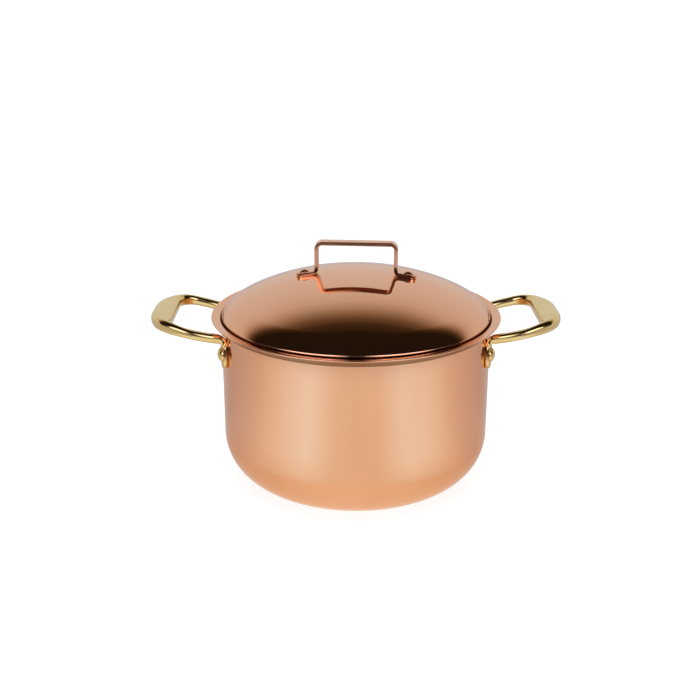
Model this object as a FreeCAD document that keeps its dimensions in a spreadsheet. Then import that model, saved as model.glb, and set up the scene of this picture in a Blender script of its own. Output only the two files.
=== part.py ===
"""A round copper casserole with two cast brass loop handles and a domed copper lid.

Every riveted piece is modelled as it lies on the bench: the spun copper shell of the pot and of
the lid, the thin steel lining inside each, three handles, and the rivets that hold them.
Units are millimetres.  The origin is on the table, under the middle of the pot, and +Z is up.
The side handles point along +X and -X.
"""
import FreeCAD, Part
import math
import os
import Sketcher

DRIVING_SIZES = [
    # the pot: a straight wall, a round bottom corner and a rim flared out into a narrow flange
    ("wall_radius", 122.0),
    ("corner_radius", 45.0),
    ("rim_radius", 130.4),
    ("rim_height", 156.3),
    ("rim_slope", 8.0),
    ("rim_bend", 3.0),
    ("copper_thick", 1.4),
    ("lining_thick", 0.6),
    ("lining_top", 147.0),
    # the lid: three arcs that tighten from the crown out to the shoulder, then a tight knuckle and a
    # short upright edge that nests in the flare
    ("lid_radius", 121.3),
    ("lid_edge_height", 154.1),
    ("lid_top_height", 193.4),
    ("crown_radius", 280.0),
    ("crown_reach", 52.0),
    ("dome_radius", 200.0),
    ("dome_reach", 105.5),
    ("shoulder_radius", 44.0),
    ("knuckle_radius", 2.0),
    ("lid_thick", 1.2),
    ("lid_lining_thick", 0.5),
    ("lid_lining_lift", 1.0),
    ("lid_turn", -4.3),
    # the lid's handle: a flat strap bent up from two feet
    ("strap_width", 10.0),
    ("strap_thick", 3.5),
    ("strap_half_span", 37.2),
    ("strap_top_height", 221.8),
    ("strap_top_bend", 3.4),
    ("strap_foot_bend", 2.6),
    ("strap_foot_end", 7.4),
    ("strap_tip_round", 4.8),
    # the lid's two rivets
    ("lid_rivet_reach", 46.5),
    ("lid_rivet_head", 4.5),
    ("lid_rivet_rise", 2.4),
    ("lid_rivet_shank", 1.75),
    ("lid_rivet_tail", 3.5),
    ("lid_rivet_tail_rise", 1.1),
    # the cast side handles: a broad flat grip, two arms that dip and swing in towards the pot, and
    # two feet that lie on its wall
    ("grip_outer_reach", 183.8),
    ("grip_inner_reach", 163.5),
    ("grip_outer_corner", 42.0),
    ("grip_inner_corner", 14.0),
    ("grip_height", 155.1),
    ("grip_thick", 12.0),
    ("grip_round", 4.4),
    ("arm_offset", 48.0),
    ("arm_width", 8.2),
    ("arm_thick", 8.3),
    ("arm_round", 3.4),
    ("arm_dip", 13.2),
    ("arm_dip_run", 20.0),
    ("foot_offset", 42.3),
    ("foot_bend", 6.8),
    ("foot_width", 12.0),
    ("foot_thick", 3.8),
    ("foot_round", 1.5),
    ("foot_tip_height", 117.4),
    # the four rivets of the side handles
    ("rivet_height", 130.1),
    ("rivet_head", 6.7),
    ("rivet_rise", 3.8),
    ("rivet_shank", 2.2),
    ("rivet_tail", 6.0),
    ("rivet_tail_rise", 1.6),
    ("rivet_clearance", 0.05),
]

doc = FreeCAD.newDocument("casserole")
sheet = doc.addObject("Spreadsheet::Sheet", "sizes")
for row, (alias, number) in enumerate(DRIVING_SIZES, start=1):
    sheet.set(f"A{row}", alias)
    sheet.set(f"B{row}", str(number))
    sheet.setAlias(f"B{row}", alias)
doc.recompute()


class Size:
    """A length or a ratio that knows both its number and its expression in the sheet's cells."""

    def __init__(self, number, text):
        self.number = number
        self.text = text

    def __add__(self, other):
        other = as_size(other)
        return Size(self.number + other.number, f"({self.text} + {other.text})")

    def __sub__(self, other):
        other = as_size(other)
        return Size(self.number - other.number, f"({self.text} - {other.text})")

    def __mul__(self, other):
        other = as_size(other)
        return Size(self.number * other.number, f"({self.text} * {other.text})")

    def __truediv__(self, other):
        other = as_size(other)
        return Size(self.number / other.number, f"({self.text} / {other.text})")

    def __neg__(self):
        return Size(-self.number, f"(-1 * {self.text})")


def as_size(thing):
    return thing if isinstance(thing, Size) else Size(float(thing), str(thing))


def cell(alias):
    return Size(float(sheet.get(alias)), f"sizes.{alias}")


def root(square):
    return Size(math.sqrt(square.number), f"sqrt({square.text})")


def sine(degrees):
    return Size(math.sin(math.radians(degrees.number)), f"sin({degrees.text})")


def cosine(degrees):
    return Size(math.cos(math.radians(degrees.number)), f"cos({degrees.text})")


def leg(hypotenuse, other_leg):
    """The third side of a right-angled triangle."""
    return root(hypotenuse * hypotenuse - other_leg * other_leg)


class Chain:
    """Corner points joined by lines, or by arcs where an edge has a centre."""

    def __init__(self, first_point):
        self.points = [first_point]
        self.centres = []

    def line_to(self, x, z):
        self.points.append((x, z))
        self.centres.append(None)
        return self

    def arc_to(self, x, z, centre):
        self.points.append((x, z))
        self.centres.append(centre)
        return self

    def reversed(self):
        other = Chain(self.points[-1])
        other.points = self.points[::-1]
        other.centres = self.centres[::-1]
        return other

    def mirrored(self):
        other = Chain(self.points[0])
        other.points = [(-x, z) for x, z in self.points]
        other.centres = [None if c is None else (-c[0], c[1]) for c in self.centres]
        return other

    def joined(self, next_chain):
        """This chain, a straight edge, then the next chain."""
        other = Chain(self.points[0])
        other.points = self.points + next_chain.points
        other.centres = self.centres + [None] + next_chain.centres
        return other


def origin_plane(body, role):
    return next(feature for feature in body.Origin.OriginFeatures if feature.Role == role)


def bind(sketch, constraint, size):
    index = sketch.addConstraint(constraint)
    sketch.setExpression(f"Constraints[{index}]", size.text)


def draw(body, name, chain):
    """A closed sketch on the body's XZ plane, with every corner and radius bound to the sheet."""
    sketch = body.newObject("Sketcher::SketchObject", name)
    sketch.AttachmentSupport = [(origin_plane(body, "XZ_Plane"), "")]
    sketch.MapMode = "FlatFace"
    centres = chain.centres + [None]
    count = len(chain.points)
    ends = []
    for index, centre in enumerate(centres):
        start = chain.points[index]
        end = chain.points[(index + 1) % count]
        start_vector = FreeCAD.Vector(start[0].number, start[1].number, 0)
        end_vector = FreeCAD.Vector(end[0].number, end[1].number, 0)
        if centre is None:
            edge = sketch.addGeometry(Part.LineSegment(start_vector, end_vector))
            ends.append((edge, 1, 2))
            continue
        middle = FreeCAD.Vector(centre[0].number, centre[1].number, 0)
        start_angle = math.atan2(start_vector.y - middle.y, start_vector.x - middle.x)
        end_angle = math.atan2(end_vector.y - middle.y, end_vector.x - middle.x)
        circle = Part.Circle(middle, FreeCAD.Vector(0, 0, 1), start_vector.distanceToPoint(middle))
        if (end_angle - start_angle) % (2 * math.pi) < math.pi:
            edge = sketch.addGeometry(Part.ArcOfCircle(circle, start_angle, end_angle))
            ends.append((edge, 1, 2))
        else:
            edge = sketch.addGeometry(Part.ArcOfCircle(circle, end_angle, start_angle))
            ends.append((edge, 2, 1))
    for index, (edge, start_end, far_end) in enumerate(ends):
        next_edge, next_start, _ = ends[(index + 1) % count]
        sketch.addConstraint(Sketcher.Constraint("Coincident", edge, far_end, next_edge, next_start))
        x, z = chain.points[index]
        bind(sketch, Sketcher.Constraint("DistanceX", -1, 1, edge, start_end, x.number), x)
        bind(sketch, Sketcher.Constraint("DistanceY", -1, 1, edge, start_end, z.number), z)
        centre = centres[index]
        if centre is not None:
            across = x - centre[0]
            along = z - centre[1]
            radius = root(across * across + along * along)
            bind(sketch, Sketcher.Constraint("Radius", edge, radius.number), radius)
    return sketch


def spun(name, chain):
    """A body turned about its own Z axis."""
    body = doc.addObject("PartDesign::Body", name)
    sketch = draw(body, f"{name}_outline", chain)
    revolution = body.newObject("PartDesign::Revolution", f"{name}_turned")
    revolution.Profile = sketch
    revolution.ReferenceAxis = (sketch, ["V_Axis"])
    revolution.Angle = 360.0
    body.Tip = revolution
    return body


ZERO = as_size(0)


# ---- the pot ---------------------------------------------------------------------------------

def pot_shell_chain():
    """The copper shell's section, from the middle of its floor to the lip of the flange and back."""
    wall = cell("wall_radius")
    corner = cell("corner_radius")
    thick = cell("copper_thick")
    bend = cell("rim_bend")
    slope_sine = sine(cell("rim_slope"))
    slope_cosine = cosine(cell("rim_slope"))
    lip_x = cell("rim_radius")
    lip_z = cell("rim_height")
    under_x = lip_x + thick * slope_sine
    under_z = lip_z - thick * slope_cosine
    # the bend's centre lies one bend radius below the flange's underside and outside the wall
    bend_x = wall + bend
    run = under_x - bend_x
    bend_z = under_z - (run * slope_sine + bend) / slope_cosine
    corner_centre = (wall - corner, corner)
    bend_centre = (bend_x, bend_z)
    outside = Chain((ZERO, ZERO))
    outside.line_to(wall - corner, ZERO)
    outside.arc_to(wall, corner, corner_centre)
    outside.line_to(wall, bend_z)
    outside.arc_to(bend_x - bend * slope_sine, bend_z + bend * slope_cosine, bend_centre)
    outside.line_to(under_x, under_z)
    inside = Chain((ZERO, thick))
    inside.line_to(wall - corner, thick)
    inside.arc_to(wall - thick, corner, corner_centre)
    inside.line_to(wall - thick, bend_z)
    top_bend = bend + thick
    inside.arc_to(bend_x - top_bend * slope_sine, bend_z + top_bend * slope_cosine, bend_centre)
    inside.line_to(lip_x, lip_z)
    return outside.joined(inside.reversed())


def pot_lining_chain():
    """The steel lining, which stops just under the flare."""
    wall = cell("wall_radius")
    corner = cell("corner_radius")
    outer = cell("copper_thick")
    inner = outer + cell("lining_thick")
    top = cell("lining_top")
    corner_centre = (wall - corner, corner)
    sides = []
    for depth in (outer, inner):
        side = Chain((ZERO, depth))
        side.line_to(wall - corner, depth)
        side.arc_to(wall - depth, corner, corner_centre)
        side.line_to(wall - depth, top)
        sides.append(side)
    return sides[0].joined(sides[1].reversed())


# ---- the lid ---------------------------------------------------------------------------------

def crown_centre_height():
    return cell("lid_top_height") - cell("crown_radius")


def along_line(start, end, share):
    """A point on the line from start to end; a share over 1 lies beyond the end."""
    return (start[0] + (end[0] - start[0]) * share, start[1] + (end[1] - start[1]) * share)


def dome_side(depth, edge_height):
    """One face of the dome, a given depth under its outside: three arcs, knuckle, upright edge."""
    crown = cell("crown_radius")
    dome = cell("dome_radius")
    shoulder = cell("shoulder_radius")
    knuckle = cell("knuckle_radius")
    # two arcs touch on the line through both their centres
    crown_centre = (ZERO, crown_centre_height())
    crown_sine = cell("crown_reach") / crown
    dome_x = (crown - dome) * crown_sine
    dome_centre = (dome_x, crown_centre[1] + leg(crown - dome, dome_x))
    dome_sine = (cell("dome_reach") - dome_x) / dome
    shoulder_across = (dome - shoulder) * dome_sine
    shoulder_centre = (dome_x + shoulder_across, dome_centre[1] + leg(dome - shoulder, shoulder_across))
    knuckle_x = cell("lid_radius") - knuckle
    knuckle_z = shoulder_centre[1] + leg(shoulder - knuckle, knuckle_x - shoulder_centre[0])
    knuckle_centre = (knuckle_x, knuckle_z)
    side = Chain((ZERO, cell("lid_top_height") - depth))
    side.arc_to(*along_line(crown_centre, dome_centre, (crown - depth) / (crown - dome)), crown_centre)
    side.arc_to(*along_line(dome_centre, shoulder_centre, (dome - depth) / (dome - shoulder)), dome_centre)
    side.arc_to(*along_line(shoulder_centre, knuckle_centre, (shoulder - depth) / (shoulder - knuckle)),
                shoulder_centre)
    side.arc_to(cell("lid_radius") - depth, knuckle_z, knuckle_centre)
    side.line_to(cell("lid_radius") - depth, edge_height)
    return side


def lid_shell_chain():
    edge = cell("lid_edge_height")
    return dome_side(ZERO, edge).joined(dome_side(cell("lid_thick"), edge).reversed())


def lid_lining_chain():
    edge = cell("lid_edge_height") + cell("lid_lining_lift")
    outer = cell("lid_thick")
    inner = outer + cell("lid_lining_thick")
    return dome_side(outer, edge).joined(dome_side(inner, edge).reversed())


def lid_handle_body(name):
    """The strap: a bar, two upright legs and two feet that lie on the dome, all one bent strip."""
    thick = cell("strap_thick")
    half_span = cell("strap_half_span")
    top = cell("strap_top_height")
    top_bend = cell("strap_top_bend")
    foot_bend = cell("strap_foot_bend")
    crown = cell("crown_radius")
    centre_z = crown_centre_height()
    tilt_sine = cell("lid_rivet_reach") / crown
    tilt_cosine = root(as_size(1) - tilt_sine * tilt_sine)

    def on_foot(out, up):
        """A point out along the foot from its rivet, and up from the dome."""
        return (tilt_sine * (crown + up) + tilt_cosine * out,
                centre_z + tilt_cosine * (crown + up) - tilt_sine * out)

    upper_centre = (half_span - thick - top_bend, top - thick - top_bend)
    lower_x = half_span + foot_bend
    lower_z = centre_z + (crown + thick + foot_bend - lower_x * tilt_sine) / tilt_cosine
    lower_centre = (lower_x, lower_z)

    def strip_side(depth, lower_radius):
        """From the foot's tip up to the middle of the bar, on the outside or the inside."""
        upper_radius = top_bend + thick - depth
        side = Chain(on_foot(cell("strap_foot_end"), thick - depth))
        side.line_to(lower_x - lower_radius * tilt_sine, lower_z - lower_radius * tilt_cosine)
        side.arc_to(lower_x - lower_radius, lower_z, lower_centre)
        side.line_to(half_span - depth, upper_centre[1])
        side.arc_to(upper_centre[0], upper_centre[1] + upper_radius, upper_centre)
        return side

    outside = strip_side(ZERO, foot_bend)
    inside = strip_side(thick, foot_bend + thick)
    outline = outside.joined(outside.mirrored().reversed())
    outline = outline.joined(inside.mirrored())
    outline = outline.joined(inside.reversed())

    body = doc.addObject("PartDesign::Body", name)
    sketch = draw(body, f"{name}_outline", outline)
    pad = body.newObject("PartDesign::Pad", f"{name}_strip")
    pad.Profile = sketch
    pad.SideType = "Symmetric"
    pad.setExpression("Length", "sizes.strap_width")
    body.Tip = pad
    doc.recompute()
    # the tips of both feet are rounded
    tip_reach = on_foot(cell("strap_foot_end"), ZERO)[0].number - thick.number
    tip_edges = []
    for number, edge in enumerate(pad.Shape.Edges, start=1):
        far_out = min(abs(vertex.X) for vertex in edge.Vertexes) > tip_reach
        if far_out and abs(edge.Length - thick.number) < 0.1:
            tip_edges.append(f"Edge{number}")
    rounding = body.newObject("PartDesign::Fillet", f"{name}_tips")
    rounding.Base = (pad, tip_edges)
    rounding.setExpression("Radius", "sizes.strap_tip_round")
    body.Tip = rounding
    body.Placement = turned_about_z(cell("lid_turn").number)
    return body


# ---- rivets ----------------------------------------------------------------------------------

def turned_about_z(degrees):
    return FreeCAD.Placement(FreeCAD.Vector(0, 0, 0), FreeCAD.Rotation(FreeCAD.Vector(0, 0, 1), degrees))


def side_rivet_chain():
    """A rivet standing on its tail, drawn about Z: tail inside the pot, domed head outside."""
    lining_inner = cell("wall_radius") - cell("copper_thick") - cell("lining_thick")
    return rivet_chain(
        leg(lining_inner, cell("rivet_tail")),
        cell("wall_radius") + cell("foot_thick"),
        cell("rivet_shank") - cell("rivet_clearance"),
        (cell("rivet_head"), cell("rivet_rise")),
        (cell("rivet_tail"), cell("rivet_tail_rise")))


def lid_rivet_chain():
    """The same for the strap's feet, measured from the centre of the crown's arc."""
    lining_inner = cell("crown_radius") - cell("lid_thick") - cell("lid_lining_thick")
    return rivet_chain(
        leg(lining_inner, cell("lid_rivet_tail")),
        cell("crown_radius") + cell("strap_thick"),
        cell("lid_rivet_shank") - cell("rivet_clearance"),
        (cell("lid_rivet_head"), cell("lid_rivet_rise")),
        (cell("lid_rivet_tail"), cell("lid_rivet_tail_rise")))


def rivet_chain(tail_seat, head_seat, shank, head, tail):
    """Half a rivet's section: both ends are shallow domes, each an arc over its own radius."""
    head_radius, head_rise = head
    tail_radius, tail_rise = tail
    head_sphere = (head_radius * head_radius + head_rise * head_rise) / (head_rise * 2)
    tail_sphere = (tail_radius * tail_radius + tail_rise * tail_rise) / (tail_rise * 2)
    chain = Chain((ZERO, tail_seat - tail_rise))
    chain.arc_to(tail_radius, tail_seat, (ZERO, tail_seat - tail_rise + tail_sphere))
    chain.line_to(shank, tail_seat)
    chain.line_to(shank, head_seat)
    chain.line_to(head_radius, head_seat)
    chain.arc_to(ZERO, head_seat + head_rise, (ZERO, head_seat + head_rise - head_sphere))
    return chain


def foot_azimuth():
    """How far round from the X axis a side handle's foot lies on the wall, in degrees."""
    reach = cell("wall_radius").number + cell("foot_thick").number / 2
    return math.degrees(math.asin(cell("foot_offset").number / reach))


def side_rivet_placement(azimuth):
    """Lay the rivet's axis flat, pointing out from the pot at that azimuth."""
    flat = FreeCAD.Rotation(FreeCAD.Vector(0, 1, 0), 90)
    around = FreeCAD.Rotation(FreeCAD.Vector(0, 0, 1), azimuth)
    return FreeCAD.Placement(FreeCAD.Vector(0, 0, cell("rivet_height").number), around * flat)


def lid_rivet_placement(side):
    """Square to the dome: the axis runs from the crown's centre through the middle of a foot."""
    tilt = math.degrees(math.asin(cell("lid_rivet_reach").number / cell("crown_radius").number))
    lean = FreeCAD.Rotation(FreeCAD.Vector(0, 1, 0), side * tilt)
    around = FreeCAD.Rotation(FreeCAD.Vector(0, 0, 1), cell("lid_turn").number)
    return FreeCAD.Placement(FreeCAD.Vector(0, 0, crown_centre_height().number), around * lean)


FOOT_PLACES = {
    "right_handle_front_rivet": -foot_azimuth(),
    "right_handle_rear_rivet": foot_azimuth(),
    "left_handle_front_rivet": 180 + foot_azimuth(),
    "left_handle_rear_rivet": 180 - foot_azimuth(),
}
LID_PLACES = {
    "lid_handle_left_rivet": -1,
    "lid_handle_right_rivet": 1,
}


def rod(name, placement, radius, start, length):
    """A plain cutting rod along a rivet's axis."""
    cylinder = doc.addObject("Part::Cylinder", name)
    cylinder.setExpression("Radius", radius.text)
    cylinder.setExpression("Height", length.text)
    shift = FreeCAD.Placement(FreeCAD.Vector(0, 0, start.number), FreeCAD.Rotation())
    cylinder.Placement = placement.multiply(shift)
    return cylinder


def drilled(name, base, tools):
    """The finished piece: its blank with the rivet holes cut through it."""
    fuse = doc.addObject("Part::MultiFuse", f"{name}_tools")
    fuse.Shapes = tools
    cut = doc.addObject("Part::Cut", name)
    cut.Base = base
    cut.Tool = fuse
    return cut


def side_holes(prefix, names):
    """Through the wall and the foot, for the named rivets."""
    overrun = cell("foot_thick") * 4
    start = cell("wall_radius") - overrun
    length = overrun * 2
    return [rod(f"{prefix}_{name}_hole", side_rivet_placement(FOOT_PLACES[name]),
                cell("rivet_shank"), start, length) for name in names]


def lid_holes(prefix):
    """Through the dome and both feet of the strap."""
    overrun = cell("strap_thick") * 4
    start = cell("crown_radius") - overrun
    length = overrun * 2
    return [rod(f"{prefix}_{name}_hole", lid_rivet_placement(side),
                cell("lid_rivet_shank"), start, length) for name, side in LID_PLACES.items()]


# ---- the cast side handles -------------------------------------------------------------------

# how many sections the loft has along each stretch of the casting
GRIP_STATIONS = 4
CORNER_STATIONS = 6
ARM_STATIONS = 3
SWING_STATIONS = 3
BEND_STATIONS = 5
TONGUE_STATIONS = 5
# the foot's round tip is cut off square where it would run out to a point
TONGUE_TURN = math.radians(75)
# a section's corner radius stays just under half its width
LARGEST_CORNER = 0.49


def rounded_section(middle, across, up, width, thick, corner):
    """A closed wire: a rectangle with round corners, centred on middle."""
    corner = min(corner, LARGEST_CORNER * width, LARGEST_CORNER * thick)
    flat_half = width / 2 - corner
    rise_half = thick / 2 - corner
    edges = []

    def at(x, z):
        return middle + across * x + up * z

    diagonal = corner * math.sqrt(0.5)
    for side_x, side_z in ((1, 1), (-1, 1), (-1, -1), (1, -1)):
        centre_x = side_x * flat_half
        centre_z = side_z * rise_half
        first = at(centre_x + side_x * corner, centre_z)
        bulge = at(centre_x + side_x * diagonal, centre_z + side_z * diagonal)
        last = at(centre_x, centre_z + side_z * corner)
        if side_x * side_z < 0:
            first, last = last, first
        edges.append(Part.Arc(first, bulge, last).toShape())
    joined = []
    for index, arc in enumerate(edges):
        following = edges[(index + 1) % len(edges)]
        joined.append(arc)
        joined.append(Part.makeLine(arc.Vertexes[-1].Point, following.Vertexes[0].Point))
    return Part.Wire(joined)


def shares(count):
    """Steps from 0 up to, but not including, 1."""
    return [index / count for index in range(count)]


class HandleLoop:
    """The right handle's rear half in plan: the grip's two edges, the corner, and the arm's swing."""

    def __init__(self, number):
        arm_half = number["arm_width"] / 2
        self.number = number
        self.outer_half = number["arm_offset"] + arm_half
        self.inner_half = number["arm_offset"] - arm_half
        self.outer_corner_x = number["grip_outer_reach"] - number["grip_outer_corner"]
        self.outer_corner_y = self.outer_half - number["grip_outer_corner"]
        self.inner_corner_x = number["grip_inner_reach"] - number["grip_inner_corner"]
        self.inner_corner_y = self.inner_half - number["grip_inner_corner"]
        self.grip_middle_x = (number["grip_outer_reach"] + number["grip_inner_reach"]) / 2
        # the arm swings in to arrive square to the wall, already dipping into the bend
        self.azimuth = math.radians(foot_azimuth())
        self.dip = math.radians(number["arm_dip"])
        self.foot_reach = number["wall_radius"] + number["foot_thick"] / 2
        self.bend_reach = self.foot_reach + number["foot_bend"]
        arm_end_reach = self.bend_reach - number["foot_bend"] * math.sin(self.dip)
        sideways_move = number["arm_offset"] - arm_end_reach * math.sin(self.azimuth)
        self.swing_radius = sideways_move / (1 - math.cos(self.azimuth))
        self.swing_x = arm_end_reach * math.cos(self.azimuth) + self.swing_radius * math.sin(self.azimuth)
        self.swing_run = self.grip_middle_x - self.swing_x
        self.arm_end_height = self.height(self.swing_run + self.swing_radius * self.azimuth)

    def height(self, run):
        """The loop is level over the grip, then curves down into the arm's even slope."""
        curved = min(max(run, 0), self.number["arm_dip_run"])
        straight = max(run - self.number["arm_dip_run"], 0)
        fall = curved ** 2 / (2 * self.number["arm_dip_run"]) + straight
        return self.number["grip_height"] - math.tan(self.dip) * fall

    def slope(self, run):
        steepness = min(max(run / self.number["arm_dip_run"], 0), 1)
        return math.atan(math.tan(self.dip) * steepness)

    def outer_x(self, y):
        if y <= self.outer_corner_y:
            return self.number["grip_outer_reach"]
        rise = y - self.outer_corner_y
        return self.outer_corner_x + math.sqrt(self.number["grip_outer_corner"] ** 2 - rise ** 2)

    def outer_y(self, x):
        if x <= self.outer_corner_x:
            return self.outer_half
        run = x - self.outer_corner_x
        return self.outer_corner_y + math.sqrt(self.number["grip_outer_corner"] ** 2 - run ** 2)

    def outer_from_corner(self, angle):
        """Where a ray from the inner corner's centre meets the outer corner's arc."""
        from_x = self.inner_corner_x - self.outer_corner_x
        from_y = self.inner_corner_y - self.outer_corner_y
        along = from_x * math.cos(angle) + from_y * math.sin(angle)
        shortfall = self.number["grip_outer_corner"] ** 2 - from_x ** 2 - from_y ** 2
        reach = math.sqrt(along ** 2 + shortfall) - along
        return self.inner_corner_x + reach * math.cos(angle), self.inner_corner_y + reach * math.sin(angle)

    def edge_pairs(self):
        """Outer and inner points in plan, from the middle of the grip to where the arm swings in."""
        pairs = []
        for share in shares(GRIP_STATIONS):
            y = self.inner_corner_y * share
            pairs.append(((self.outer_x(y), y), (self.number["grip_inner_reach"], y)))
        for share in shares(CORNER_STATIONS):
            angle = share * math.pi / 2
            inner = (self.inner_corner_x + self.number["grip_inner_corner"] * math.cos(angle),
                     self.inner_corner_y + self.number["grip_inner_corner"] * math.sin(angle))
            pairs.append((self.outer_from_corner(angle), inner))
        for share in shares(ARM_STATIONS):
            x = self.inner_corner_x + (self.swing_x - self.inner_corner_x) * share
            pairs.append(((x, self.outer_y(x)), (x, self.inner_half)))
        return pairs


def half_handle_sections():
    """Section wires from the middle of the right handle's grip to the tip of its rear foot."""
    number = {alias: float(sheet.get(alias)) for alias, _ in DRIVING_SIZES}
    loop = HandleLoop(number)
    vector = FreeCAD.Vector
    up = vector(0, 0, 1)
    sections = []

    def between(first, last, share):
        return number[first] + (number[last] - number[first]) * share

    for outer, inner in loop.edge_pairs():
        outer = vector(*outer, loop.height(loop.grip_middle_x - outer[0]))
        inner = vector(*inner, loop.height(loop.grip_middle_x - inner[0]))
        across = outer - inner
        width = across.Length
        across.normalize()
        middle = (outer + inner) * 0.5
        run = loop.grip_middle_x - middle.x
        tilt = loop.slope(run)
        square = vector(-math.sin(tilt), 0, math.cos(tilt))
        blend = min(1.0, max(0.0, run / loop.swing_run))
        thick = between("grip_thick", "arm_thick", blend)
        corner = between("grip_round", "arm_round", blend)
        sections.append(rounded_section(middle, across, square, width, thick, corner))

    for share in shares(SWING_STATIONS):
        angle = loop.azimuth * share
        middle = vector(loop.swing_x - loop.swing_radius * math.sin(angle),
                        number["arm_offset"] - loop.swing_radius * (1 - math.cos(angle)),
                        loop.height(loop.swing_run + loop.swing_radius * angle))
        inward = vector(-math.cos(angle), -math.sin(angle), 0)
        across = vector(-math.sin(angle), math.cos(angle), 0)
        square = inward * math.sin(loop.dip) + up * math.cos(loop.dip)
        sections.append(rounded_section(middle, across, square, number["arm_width"],
                                        number["arm_thick"], number["arm_round"]))

    bend = number["foot_bend"]
    outward = vector(math.cos(loop.azimuth), math.sin(loop.azimuth), 0)
    across = vector(-math.sin(loop.azimuth), math.cos(loop.azimuth), 0)
    bend_middle = outward * loop.bend_reach + up * (loop.arm_end_height - bend * math.cos(loop.dip))
    for index in range(BEND_STATIONS):
        share = index / (BEND_STATIONS - 1)
        turn = loop.dip + (math.pi / 2 - loop.dip) * share
        square = up * math.cos(turn) - outward * math.sin(turn)
        width = between("arm_width", "foot_width", share ** 3)
        thick = between("arm_thick", "foot_thick", share)
        corner = between("arm_round", "foot_round", share)
        sections.append(rounded_section(bend_middle + square * bend, across, square, width, thick, corner))

    half = number["foot_width"] / 2
    straight_end = number["foot_tip_height"] + half
    for index in range(TONGUE_STATIONS + 1):
        angle = TONGUE_TURN * index / TONGUE_STATIONS
        middle = outward * loop.foot_reach + up * (straight_end - half * math.sin(angle))
        width = number["foot_width"] * math.cos(angle)
        sections.append(rounded_section(middle, across, outward * -1, width,
                                        number["foot_thick"], number["foot_round"]))
    return sections


def mirrored_front_to_rear(wire):
    """The same section on the other arm, with its edges running the same way round."""
    return wire.mirror(FreeCAD.Vector(0, 0, 0), FreeCAD.Vector(0, 1, 0))


def casting(name, turn):
    """A whole handle: one loft from foot to foot, because its section changes all the way."""
    rear = half_handle_sections()
    front = [mirrored_front_to_rear(wire) for wire in rear[1:]]
    shape = Part.makeLoft(front[::-1] + rear, True, False)
    feature = doc.addObject("Part::Feature", name)
    feature.Shape = shape
    feature.Placement = turned_about_z(turn)
    return feature


def side_handle(name, turn):
    """The casting, hollowed to fit the wall, with its two rivet holes and flat seats for the heads."""
    rivets = [rivet for rivet in FOOT_PLACES if rivet.startswith(name)]
    wall = doc.addObject("Part::Cylinder", f"{name}_wall_fit")
    wall.setExpression("Radius", "sizes.wall_radius")
    wall.setExpression("Height", "sizes.rim_height")
    seats = [rod(f"{rivet}_seat", side_rivet_placement(FOOT_PLACES[rivet]), cell("rivet_head"),
                 cell("wall_radius") + cell("foot_thick"), cell("rivet_rise")) for rivet in rivets]
    tools = [wall] + seats + side_holes(name, rivets)
    return drilled(name, casting(f"{name}_casting", turn), tools)


# ---- the assembly ----------------------------------------------------------------------------

nodes = [
    side_handle("right_handle", 0),
    side_handle("left_handle", 180),
    drilled("lid_handle", lid_handle_body("lid_handle_blank"), lid_holes("lid_handle")),
]
for name, chain in (("pot_shell", pot_shell_chain()), ("pot_lining", pot_lining_chain())):
    nodes.append(drilled(name, spun(f"{name}_blank", chain), side_holes(name, FOOT_PLACES)))
for name, chain in (("lid_shell", lid_shell_chain()), ("lid_lining", lid_lining_chain())):
    nodes.append(drilled(name, spun(f"{name}_blank", chain), lid_holes(name)))
for rivet_name, azimuth in FOOT_PLACES.items():
    rivet = spun(rivet_name, side_rivet_chain())
    rivet.Placement = side_rivet_placement(azimuth)
    nodes.append(rivet)
for rivet_name, side in LID_PLACES.items():
    rivet = spun(rivet_name, lid_rivet_chain())
    rivet.Placement = lid_rivet_placement(side)
    nodes.append(rivet)

doc.recompute()
for item in doc.Objects:
    if "Invalid" in item.State or "Error" in item.State:
        raise RuntimeError(f"{item.Label} did not build: {item.State}")
for node in nodes:
    if node.Shape.isNull() or not node.Shape.isValid():
        raise RuntimeError(f"{node.Label} has no valid shape")
    if len(node.Shape.Solids) != 1:
        raise RuntimeError(f"{node.Label} holds {len(node.Shape.Solids)} solids")

os.makedirs("parts", exist_ok=True)
for node in nodes:
    node.Shape.exportStep(f"parts/{node.Label}.step")
    box = node.Shape.BoundBox
    low = f"{box.XMin:8.1f} {box.YMin:8.1f} {box.ZMin:8.1f}"
    high = f"{box.XMax:8.1f} {box.YMax:8.1f} {box.ZMax:8.1f}"
    print(f"{node.Label:28s} {node.Shape.Volume:12.1f} mm3 from {low} to {high}")
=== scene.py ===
"""The looks of a copper casserole with cast brass handles and a domed copper lid.

Every visible piece is turned on a lathe or lofted here at high resolution and stands for one CAD
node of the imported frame.  All lengths are in metres in the frame's own axes: the pot's axis is Z,
the table is z = 0 and the side handles point along +X and -X.
"""

import math

import bpy
from mathutils import Matrix, Vector


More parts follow.
